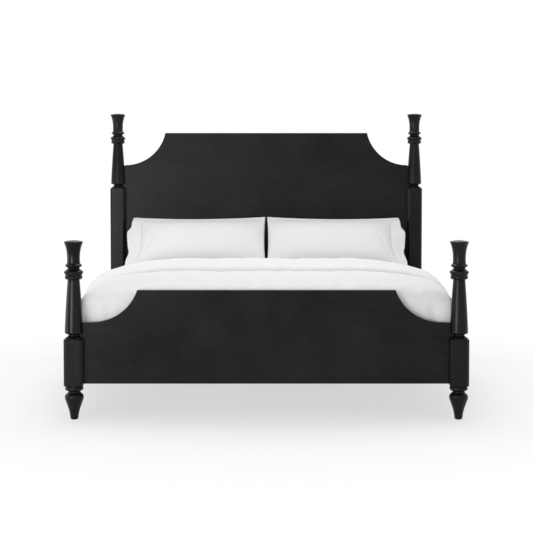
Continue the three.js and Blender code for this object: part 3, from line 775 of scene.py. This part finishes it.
def padded_sheet(columns, rows, place, width, length):
    """Two layers of cloth that meet at their rim, as a bmesh.

    place gives the points of a layer, 1 for the upper and 0 for the lower, and how far each is
    held, from shares of 0 to 1 across and along. The sheet's flat width and length are for the weave.
    """
    bm = bmesh.new()
    held = bm.verts.layers.float.new("held")
    cloth = bm.loops.layers.uv.new("cloth")
    for layer in (1, 0):
        made = bmesh.ops.create_grid(bm, x_segments=columns, y_segments=rows, size=1)["verts"]
        across = np.array([v.co.x for v in made]) / 2 + 0.5
        along_it = np.array([v.co.y for v in made]) / 2 + 0.5
        points, hold = place(across, along_it, layer)
        flat = {v: (a * width, b * length) for v, a, b in zip(made, across, along_it)}
        faces = {f for v in made for f in v.link_faces}
        for face in faces:
            for loop in face.loops:
                loop[cloth].uv = flat[loop.vert]
        for vert, point, share in zip(made, points, hold):
            vert.co = point
            vert[held] = share
        if not layer:
            bmesh.ops.reverse_faces(bm, faces=list(faces))
    bmesh.ops.remove_doubles(bm, verts=bm.verts[:], dist=0.05 * MM)
    bmesh.ops.recalc_face_normals(bm, faces=bm.faces[:])
    return bm


def points_of(mesh):
    """A mesh's points as rows of three numbers."""
    points = np.zeros(len(mesh.vertices) * 3)
    mesh.vertices.foreach_get("co", points)
    return points.reshape(-1, 3)


def settle(piece, pressure, looseness, reach):
    """Lets a padded piece's cloth settle, and keeps each point within reach of where it started."""
    scene = bpy.context.scene
    start = points_of(piece.data)
    group = piece.vertex_groups.new(name="held")
    for i, item in enumerate(piece.data.attributes["held"].data):
        if item.value > 0:
            group.add([i], item.value, "REPLACE")
    modifier = piece.modifiers.new("settling", "CLOTH")
    for name, value in CLOTH.items():
        setattr(modifier.settings, name, value)
    modifier.settings.uniform_pressure_force = pressure
    modifier.settings.shrink_min = -looseness
    modifier.settings.vertex_group_mass = "held"
    modifier.settings.effector_weights.gravity = 0
    modifier.collision_settings.use_collision = False
    modifier.point_cache.frame_start = 1
    modifier.point_cache.frame_end = SETTLING_FRAMES
    for number in range(1, SETTLING_FRAMES + 1):
        scene.frame_set(number)
    settled = piece.evaluated_get(bpy.context.evaluated_depsgraph_get())
    shift = points_of(settled.to_mesh()) - start
    settled.to_mesh_clear()
    piece.modifiers.remove(modifier)
    piece.vertex_groups.remove(group)
    scene.frame_set(1)
    length = np.linalg.norm(shift, axis=1, keepdims=True)
    shift *= reach / (reach + length)
    piece.data.vertices.foreach_set("co", (start + shift).ravel())
    piece.data.update()


def soften(piece, pressure, looseness, reach):
    settle(piece, pressure, looseness, reach)
    modifier = piece.modifiers.new("smooth", "SUBSURF")
    modifier.levels = 1
    modifier.render_levels = 1


# The duvet and its turned-down head end


def behind_post(y):
    """From 0 beside a foot post to 1 a little behind it."""
    return rounded(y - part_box("foot_post_right")[1].y - 5 * MM, 45 * MM)


def spread(y):
    """From 0 at the backs of the foot posts, where the sides are drawn in, to 1 a metre behind them."""
    return np.clip(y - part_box("foot_post_right")[1].y, 0, 1)


def side_room(y):
    """How far out the duvet's sides hang: drawn in at the foot, to pass inside and behind the posts."""
    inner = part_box("foot_post_right")[0].x + DUVET_POST_REACH
    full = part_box("side_rail_right")[1].x + DUVET_OVERHANG
    corner = full - DUVET_CORNER_DRAW
    return inner + (corner - inner) * behind_post(y) + (full - corner) * spread(y)


def hem_height(y):
    """Height of the hanging hem, which rises to the tucked edge at the foot corners."""
    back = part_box("foot_post_right")[1].y
    return DUVET_TUCKED_HEM + (DUVET_HEM - DUVET_TUCKED_HEM) * ease((y - back) / DUVET_CORNER_LENGTH)


def foot_fall(y, foot):
    """How far the duvet's top falls where it turns down at the foot."""
    left = 1 - np.clip((y - foot) / (95 * MM), 0, 1)
    return 45 * MM * (1 - np.sqrt(1 - left**2)) + 24 * MM * left**4


def folds(y, side):
    """How far a hanging side stands out or in at its hem: wide folds, small ones and the tuck."""
    seed = 0.4 + np.sign(side)  # the two sides fall in different folds
    drift = 0.9 * np.sin(tau * y / 0.71 + seed)
    wide = 11 * MM * np.cos(tau * y / FOLD_PITCH + drift)
    small = 4 * MM * np.cos(tau * y / 0.101 + seed)
    tucked = 15 * MM * (1 - behind_post(y))
    return (wide + small) * spread(y) - tucked


def section(across, crown, shoulder, shoulder_x, side_top, half_width, hem, fold):
    """Places on the duvet's cross-section: x and z for shares from -1 to 1 across."""
    flat_end, shoulder_end, round_end = DUVET_STRETCHES
    out = np.abs(across)
    slope = np.clip((out - flat_end) / (shoulder_end - flat_end), 0, 1)
    turn = np.clip((out - shoulder_end) / (round_end - shoulder_end), 0, 1)
    drop = np.clip((out - round_end) / (1 - round_end), 0, 1)
    middle_x = (shoulder_x + DUVET_FLAT) / 2 + DUVET_CROWN_REACH
    sloped_x = bend(DUVET_FLAT, middle_x, shoulder_x, slope)
    x = np.where(out < flat_end, DUVET_FLAT * out / flat_end, sloped_x)
    z = bend(crown, crown, shoulder, slope)
    turned = out > shoulder_end
    x = np.where(turned, bend(shoulder_x, half_width - DUVET_SIDE_LEAN, half_width, turn), x)
    z = np.where(turned, bend(shoulder, shoulder - DUVET_SIDE_ROUND, side_top, turn), z)
    hanging = out > round_end
    x = np.where(hanging, half_width + fold * drop, x)
    z = np.where(hanging, side_top + (hem - side_top) * drop, z)
    return np.sign(across) * x, z


def duvet_place(across, along_it, layer):
    """Points of the duvet's upper or lower layer, and how far the cloth is held there."""
    puff = bpy.context.scene.panel_bed.bedding.puff
    mattress_side, _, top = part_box("mattress")[1]
    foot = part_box("footboard_panel")[1].y + TOUCH
    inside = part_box("mattress")[0].y - 5 * MM
    rear = TURNDOWN_REAR - 24 * MM
    side = across * 2 - 1
    top_share = np.clip(along_it / DUVET_TOP_SHARE, 0, 1)
    y = foot + (rear - foot) * (1 - top_share) ** 1.5
    # The turned-down end presses the cover down: on the shoulders and sides the cover gives way a
    # little before the fold, so that the fold's edge shows
    under = ease((y - TURNDOWN_FRONT + 10 * MM) / (60 * MM))
    pressed = ease((y - TURNDOWN_FRONT + 50 * MM) / (60 * MM))
    fall = foot_fall(y, foot)
    fold = folds(y, side)
    hem = hem_height(y)
    room = side_room(y) - 22 * MM * pressed
    # At the foot the corners are squarer, where the duvet is tucked in beside the posts
    square = 1 - ease((y - foot) / DUVET_CORNER_LENGTH)
    side_top = top - DUVET_SIDE_DEPTH + 60 * MM * square
    high_x, high_z = section(
        side,
        top + DUVET_CROWN - 26 * MM * under - fall,
        top + DUVET_SHOULDER + 8 * MM * square - 14 * MM * pressed - fall,
        mattress_side - DUVET_SHOULDER_INSET + 42 * MM * square,
        side_top, room, hem, fold,
    )
    low_x, low_z = section(
        side, top + TOUCH, top + TOUCH, mattress_side + TOUCH,
        side_top, room - DUVET_SIDE_THICKNESS, hem, fold,
    )
    high = np.stack([high_x, y, high_z], 1)
    low = np.stack([low_x, np.maximum(y, inside), low_z], 1)
    # Below the turn, the face behind the footboard, gathered in soft upright folds
    down = np.clip((along_it - DUVET_TOP_SHARE) / (1 - DUVET_TOP_SHARE), 0, 1)[:, None]
    level = np.full_like(side, TUCK_HEIGHT)
    tuck = np.stack([side * TUCK_HALF_WIDTH, np.full_like(side, foot), level], 1)
    high = high * (1 - down) + tuck * down
    tuck[:, 1] = inside
    low = low * (1 - down) + tuck * down
    gather = 0.5 + 0.5 * np.sin(high[:, 0] / (14 * MM) + 2.2 * np.sin(high[:, 0] / (61 * MM)))
    corner = ease((np.abs(high[:, 0]) - 700 * MM) / (160 * MM))
    high[:, 1] += 46 * MM * gather**1.5 * corner * np.sqrt(down[:, 0]) * (1 - down[:, 0])
    swell = wander(high[:, 0], high[:, 1] + high[:, 2], 240 * MM, 3.1)
    clear = ease((y - foot) / (60 * MM)) * (1 - under)
    high[:, 2] += puff * swell * clear
    side_edge = rounded((1 - np.abs(side)) * DUVET_HALF_SPAN, 22 * MM)
    foot_edge = rounded((1 - along_it) * DUVET_LENGTH, 20 * MM)
    rear_edge = rounded(along_it * DUVET_LENGTH, 26 * MM)
    edge = np.minimum(np.minimum(side_edge, foot_edge), rear_edge)[:, None]
    middle = (high + low) / 2
    wanted = high if layer else low
    held = np.where(layer == 1, np.maximum(under, 1 - clear), 1.0)
    held = np.maximum(held, edge[:, 0] < 1)
    return middle + (wanted - middle) * edge, held


def turndown_place(across, along_it, layer):
    """Points of the folded-back head end, which lies on the duvet and wraps its edge."""
    puff = bpy.context.scene.panel_bed.bedding.puff
    mattress_side, _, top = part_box("mattress")[1]
    side = across * 2 - 1
    y = TURNDOWN_FRONT + (TURNDOWN_REAR - TURNDOWN_FRONT) * along_it
    nose = rounded(y - TURNDOWN_FRONT, 26 * MM)
    y = y + 4 * MM * wander(side * DUVET_HALF_SPAN, np.zeros_like(side), 0.3, 8.4) * (1 - along_it)
    fold = folds(y, side)
    room = side_room(y)
    hem = hem_height(y) + 14 * MM
    side_top = top - DUVET_SIDE_DEPTH
    high_x, high_z = section(
        side, top + TURNDOWN_CROWN, top + TURNDOWN_SHOULDER, mattress_side - DUVET_SHOULDER_INSET,
        side_top, room, hem, fold,
    )
    lift = 1 - ease((y - TURNDOWN_FRONT + 10 * MM) / (60 * MM))
    wrap = ease((y - TURNDOWN_REAR + 60 * MM) / (30 * MM))
    low_x, low_z = section(
        side,
        top + (48 * MM + 16 * MM * lift) * (1 - wrap),
        top + (16 * MM + 6 * MM * lift) * (1 - wrap),
        mattress_side - DUVET_SHOULDER_INSET * (1 - wrap),
        side_top, room - 21 * MM - 8 * MM * wrap + 2 * MM * lift, hem, fold,
    )
    high = np.stack([high_x, y, high_z], 1)
    low = np.stack([low_x, y, low_z], 1)
    high[:, 2] += puff * wander(high_x, y, 200 * MM, 5.7) * nose
    side_edge = rounded((1 - np.abs(side)) * DUVET_HALF_SPAN, 16 * MM)
    rear_edge = rounded(TURNDOWN_REAR - y, 52 * MM)
    edge = np.minimum(np.minimum(side_edge, rear_edge), nose)[:, None]
    # The front edge lies on the duvet; the rear edge is the round of the fold
    seat = (0.12 + 0.38 * ease((along_it - 0.25) / 0.5))[:, None]
    middle = low + (high - low) * seat
    wanted = high if layer else low
    held = np.where(layer == 1, 0.0, 1.0)
    held = np.maximum(held, np.minimum(edge[:, 0], side_edge) < 0.9)
    return middle + (wanted - middle) * edge, held


class PANELBED_OT_duvet(bpy.types.Operator):
    """Add the duvet and its turned-down head end"""

    bl_idname = "panel_bed.duvet"
    bl_label = "Duvet"

    def execute(self, context):
        spacing = context.scene.panel_bed.bedding.spacing
        cotton = percale_cotton("percale_cotton_duvet_cover")
        width = 2 * DUVET_HALF_SPAN
        columns = round(width / spacing / 2) * 2
        bm = padded_sheet(columns, round(DUVET_LENGTH / spacing), duvet_place, width, DUVET_LENGTH)
        duvet = finish_piece("duvet_cover", bm, cotton, "duvet", ["duvet"], fill=0.5)
        soften(duvet, pressure=1.5, looseness=0.03, reach=9 * MM)
        length = TURNDOWN_REAR - TURNDOWN_FRONT
        bm = padded_sheet(columns, round(length / spacing * 1.6), turndown_place, width, length)
        turndown = finish_piece("duvet_turndown", bm, cotton, "duvet", fill=0.5)
        soften(turndown, pressure=1.5, looseness=0.03, reach=7 * MM)
        return {"FINISHED"}


# Pillows


def pillow_place(side):
    """A function that places the points of a pillow in its case, for one side of the bed."""
    lean = np.array(Matrix.Rotation(PILLOW_LEAN, 3, "X"))

    def place(across, along_it, layer):
        up = along_it * 2 - 1
        upper, lower = np.clip(up, 0, 1), np.clip(-up, 0, 1)
        # The body runs from the inner seam to the case's flap, whose crease is a shallow arc
        inner = 5 * MM * (1 - up**2)
        body_end = (830 + 42 * upper**3 + 52 * lower**3) * MM
        # The flap widens in two steps below its upper corner, narrows again and is nicked lower down
        step = 8 * ease((1 - along_it) / 0.2) + 26 * ease((0.8 - along_it) / 0.12)
        nick = 12 * ease((0.68 - along_it) / 0.3) + 12 * np.exp(-(((along_it - 0.3) / 0.09) ** 2))
        flap_end = (903 + step - nick) * MM
        in_body = across < FLAP_SHARE
        x = np.where(
            in_body,
            inner + (body_end - inner) * across / FLAP_SHARE,
            body_end + (flap_end - body_end) * (across - FLAP_SHARE) / (1 - FLAP_SHARE),
        )
        # The upper edge sags between the corners, and the filling has slumped towards the lower one
        draw = (25 * upper + 17 * lower) * MM * (1 - (across * 2 - 1) ** 2)
        y = up * (PILLOW_HEIGHT / 2 - 12 * MM * upper) - draw * np.sign(up)
        body = np.clip((x - inner) / (body_end - inner), 0, 1) * 2 - 1
        width_crown = np.sqrt(np.clip(1 - np.abs(body) ** PILLOW_POWER, 0, 1))
        # Along the top the two faces lie flat together at the seam
        seam = np.minimum(upper * 1.06, 1)
        height_crown = np.where(up > 0, 1 - seam**2.1, np.sqrt(1 - lower**PILLOW_POWER))
        half = width_crown * height_crown * PILLOW_LOFT / 2
        rim_y = (1 - np.abs(up)) * PILLOW_HEIGHT / 2
        rim_x = np.minimum(across, 1 - across) * PILLOW_WHOLE
        closed = rounded(np.minimum(rim_y, rim_x), 4 * MM)
        half = np.maximum(half, FLAP_THICKNESS / 2 * closed)
        z = half if layer else -half
        # The flap has no filling: it ripples, and bends back at its lower end
        outer = ease((across - FLAP_SHARE) / (1 - FLAP_SHARE))
        bent = 18 * (1 - ease(along_it * 2.5 - 1.5))
        ripple = 8 * np.sin(9.0 * along_it + 1.2) + 4 * np.sin(23 * along_it) - bent
        z = z + outer * ripple * MM
        # A crease runs up from the lower end of the flap's hem into the body
        off_line = (across - 0.872 + 0.14 * along_it) / 0.011
        z = z - (6 * MM if layer else 0) * np.exp(-(off_line**2)) * ease(1.9 - 2.6 * along_it)
        held = np.where(in_body & (closed > 0.99), 0.0, 1.0)
        return np.stack([side * x, y, z], 1) @ lean.T, held

    return place


class PANELBED_OT_pillows(bpy.types.Operator):
    """Add the two pillows in their cases"""

    bl_idname = "panel_bed.pillows"
    bl_label = "Pillows"

    def execute(self, context):
        hem = FLAP_SHARE * PILLOW_WHOLE
        # The pillowcases are the duvet's cotton with painted shade, 9 % darker
        cotton = percale_cotton("percale_cotton_pillowcase", painted_shade_factor=0.91, hem=hem)
        for name, side in SIDES.items():
            node = f"pillow_{name}"
            low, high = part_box(node)
            bm = padded_sheet(
                PILLOW_COLUMNS, PILLOW_ROWS, pillow_place(side), PILLOW_WHOLE, PILLOW_HEIGHT
            )
            rear = max(v.co.y for v in bm.verts)
            bottom = min(v.co.z for v in bm.verts)
            inner = low.x if side > 0 else high.x
            bmesh.ops.translate(bm, vec=(inner, high.y - rear, low.z - bottom), verts=bm.verts[:])
            pillow = finish_piece(
                f"{node}_in_case", bm, cotton, node, [node], fill=0.8
            )
            soften(pillow, pressure=3, looseness=0.02, reach=8 * MM)
        return {"FINISHED"}


# The mattress


def quilted_block(bm, low, high, pitch):
    """Adds a rounded block whose top and bottom are quilted in diamonds."""
    edges = edges_at(bmesh.ops.create_cube(bm, size=2)["verts"])
    bmesh.ops.subdivide_edges(bm, edges=edges, cuts=MATTRESS_CUTS, use_grid_fill=True)
    centre, half = (low + high) / 2, (high - low) / 2
    core = half - Vector([MATTRESS_ROUNDING] * 3)
    for vert in bm.verts:
        share = vert.co.copy()
        point = Vector(share[i] * half[i] for i in range(3))
        inside = Vector(max(-core[i], min(core[i], point[i])) for i in range(3))
        away = point - inside
        if away.length > 0:
            point = inside + away.normalized() * MATTRESS_ROUNDING
        if abs(share.z) > 0.999:
            seams = abs(sin(pi * (point.x + point.y) / pitch) * sin(pi * (point.x - point.y) / pitch))
            inset = min(half.x - abs(point.x), half.y - abs(point.y)) / QUILT_MARGIN
            point.z -= share.z * QUILT_DEPTH * (1 - seams**0.5) * max(0.0, min(1.0, inset))
        vert.co = centre + point


def tape_edge(bm, low, high, height):
    """Adds the round tape that goes round the mattress at a height."""
    path = []
    for quarter in range(4):
        x = high.x - MATTRESS_ROUNDING if quarter in (0, 3) else low.x + MATTRESS_ROUNDING
        y = high.y - MATTRESS_ROUNDING if quarter < 2 else low.y + MATTRESS_ROUNDING
        for i in range(TAPE_CORNER_STEPS + 1):
            angle = (quarter + i / TAPE_CORNER_STEPS) * pi / 2
            outward = Vector((cos(angle), sin(angle), 0))
            path.append(Vector((x, y, height)) + MATTRESS_ROUNDING * outward)
    tape = bmesh.new()
    loops = []
    for i, point in enumerate(path):
        ahead = path[(i + 1) % len(path)] - path[i - 1]
        turn = Matrix.Translation(point) @ ahead.to_track_quat("Z", "Y").to_matrix().to_4x4()
        circle = bmesh.ops.create_circle(tape, segments=8, radius=TAPE_RADIUS, matrix=turn)
        loops.append(edges_at(circle["verts"]))
    for i, loop in enumerate(loops):
        bmesh.ops.bridge_loops(tape, edges=loop + loops[(i + 1) % len(loops)])
    bmesh.ops.recalc_face_normals(tape, faces=tape.faces[:])
    join(bm, tape)


class PANELBED_OT_mattress(bpy.types.Operator):
    """Add the quilted mattress with its tape edges"""

    bl_idname = "panel_bed.mattress"
    bl_label = "Mattress"

    def execute(self, context):
        low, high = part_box("mattress")
        bm = bmesh.new()
        quilted_block(bm, low, high, context.scene.panel_bed.bedding.quilting)
        for height in (low.z + TAPE_INSET, high.z - TAPE_INSET):
            tape_edge(bm, low, high, height)
        ticking = knitted_ticking()
        finish_piece("quilted_mattress", bm, ticking, "mattress", ["mattress"], fill=1.0)
        return {"FINISHED"}


# The stage


def seen_directly(tree):
    """1 for light paths that see the background itself, straight, in a gloss or through glass."""
    path = add_node(tree, "LightPath")
    seen = {0: (path, "Is Camera Ray"), 1: (path, "Is Glossy Ray")}
    either = add_node(tree, "Math", seen, operation="MAXIMUM")
    seen = {0: either, 1: (path, "Is Transmission Ray")}
    return add_node(tree, "Math", seen, operation="MAXIMUM")


def pale_floor():
    """Floor in flat white wall paint, which fades into the white background away from the bed."""
    material, tree, place = new_material("white_painted_floor")
    away = add_node(tree, "VectorMath", {0: place}, operation="LENGTH")
    far = add_node(
        tree, "MapRange",
        {"Value": (away, "Value"), "From Min": 1.2, "From Max": 2.6, "To Min": 0.6, "To Max": 1.0},
        interpolation_type="SMOOTHSTEP",
    )
    fade = add_node(tree, "Math", {0: far, 1: seen_directly(tree)}, operation="MULTIPLY")
    paint = add_node(tree, "BsdfDiffuse", {"Color": linear("#FBFBFB")})
    white = add_node(tree, "Emission", {"Color": WHITE, "Strength": 1.0})
    mixed = add_node(tree, "MixShader", {0: fade, 1: paint, 2: white})
    add_node(tree, "OutputMaterial", {"Surface": mixed})
    return material


def room_light(strength):
    """Even white light on the bed, and a white background for what is seen directly."""
    world = bpy.data.worlds.new("white_room")
    world.use_nodes = True
    tree = world.node_tree
    tree.nodes.clear()
    light = add_node(tree, "Background", {"Color": WHITE, "Strength": strength})
    back = add_node(tree, "Background", {"Color": WHITE, "Strength": 1.0})
    mixed = add_node(tree, "MixShader", {0: seen_directly(tree), 1: light, 2: back})
    add_node(tree, "OutputWorld", {"Surface": mixed})
    bpy.context.scene.world = world


def add_lamp(name, power, size, place, target):
    """Adds a rectangular lamp that faces a point."""
    lamp = bpy.data.lights.new(name, "AREA")
    lamp.shape = "RECTANGLE"
    lamp.size, lamp.size_y = size
    lamp.energy = power
    holder = add_object(name, lamp)
    holder.location = place
    holder.rotation_euler = (Vector(target) - Vector(place)).to_track_quat("-Z", "Y").to_euler()
    holder.visible_camera = False


def add_camera():
    """Adds the camera: a long lens at standing height, in front of the footboard."""
    lens = bpy.data.cameras.new("camera")
    lens.lens = 90.547
    lens.sensor_width = 36
    lens.shift_x = 0.00225
    lens.shift_y = -0.14
    lens.clip_end = 100
    camera = add_object("camera", lens)
    camera.location = (-0.006, -8.0715, 1.4945)
    camera.rotation_euler = (radians(90 - 2.4364), 0, 0)
    bpy.context.scene.camera = camera


class PANELBED_OT_stage(bpy.types.Operator):
    """Add the floor, the soft studio light and the camera"""

    bl_idname = "panel_bed.stage"
    bl_label = "Stage"

    def execute(self, context):
        stage = context.scene.panel_bed.stage
        bm = bmesh.new()
        bmesh.ops.create_circle(bm, cap_ends=True, segments=96, radius=stage.floor_radius)
        mesh = bpy.data.meshes.new("floor")
        bm.to_mesh(mesh)
        bm.free()
        mesh.materials.append(pale_floor())
        floor = add_object("floor", mesh)
        room_light(stage.sky)
        add_lamp("key_lamp", stage.key, (2.2, 1.0), (-3.05, -5.3, 0.55), (0, -1.0, 0.6))
        add_lamp("wide_lamp", stage.wide, (4.5, 2.6), (-2.3, -6.9, 1.4), (0, -0.4, 0.8))
        add_lamp("side_lamp", stage.side, (1.8, 1.1), (-4.6, -0.7, 0.6), (-1, -0.9, 0.5))
        add_lamp("top_lamp", stage.top, (3.2, 3.2), (0, 0.9, 4.4), (0, 0.2, 0.5))
        add_camera()
        context.scene.view_settings.view_transform = "Standard"
        return {"FINISHED"}


OPERATORS = (
    PANELBED_OT_stage,
    PANELBED_OT_posts,
    PANELBED_OT_panels,
    PANELBED_OT_rails,
    PANELBED_OT_slats,
    PANELBED_OT_support,
    PANELBED_OT_fittings,
    PANELBED_OT_mattress,
    PANELBED_OT_duvet,
    PANELBED_OT_pillows,
)


class PANELBED_PT_sidebar(bpy.types.Panel):
    """Lists the bed's pieces"""

    bl_label = "Panel Bed"
    bl_space_type = "VIEW_3D"
    bl_region_type = "UI"
    bl_category = "Panel Bed"

    def draw(self, context):
        for operator in OPERATORS:
            self.layout.operator(operator.bl_idname)


CLASSES = (
    PostSettings,
    PaintSettings,
    BeddingSettings,
    StageSettings,
    BedSettings,
    *OPERATORS,
    PANELBED_PT_sidebar,
)


def register():
    for kind in CLASSES:
        bpy.utils.register_class(kind)
    bpy.types.Scene.panel_bed = PointerProperty(type=BedSettings)


def unregister():
    del bpy.types.Scene.panel_bed
    for kind in reversed(CLASSES):
        bpy.utils.unregister_class(kind)


def main():
    register()
    for operator in OPERATORS:
        group, name = operator.bl_idname.split(".")
        getattr(getattr(bpy.ops, group), name)()


if __name__ == "__main__":
    main()
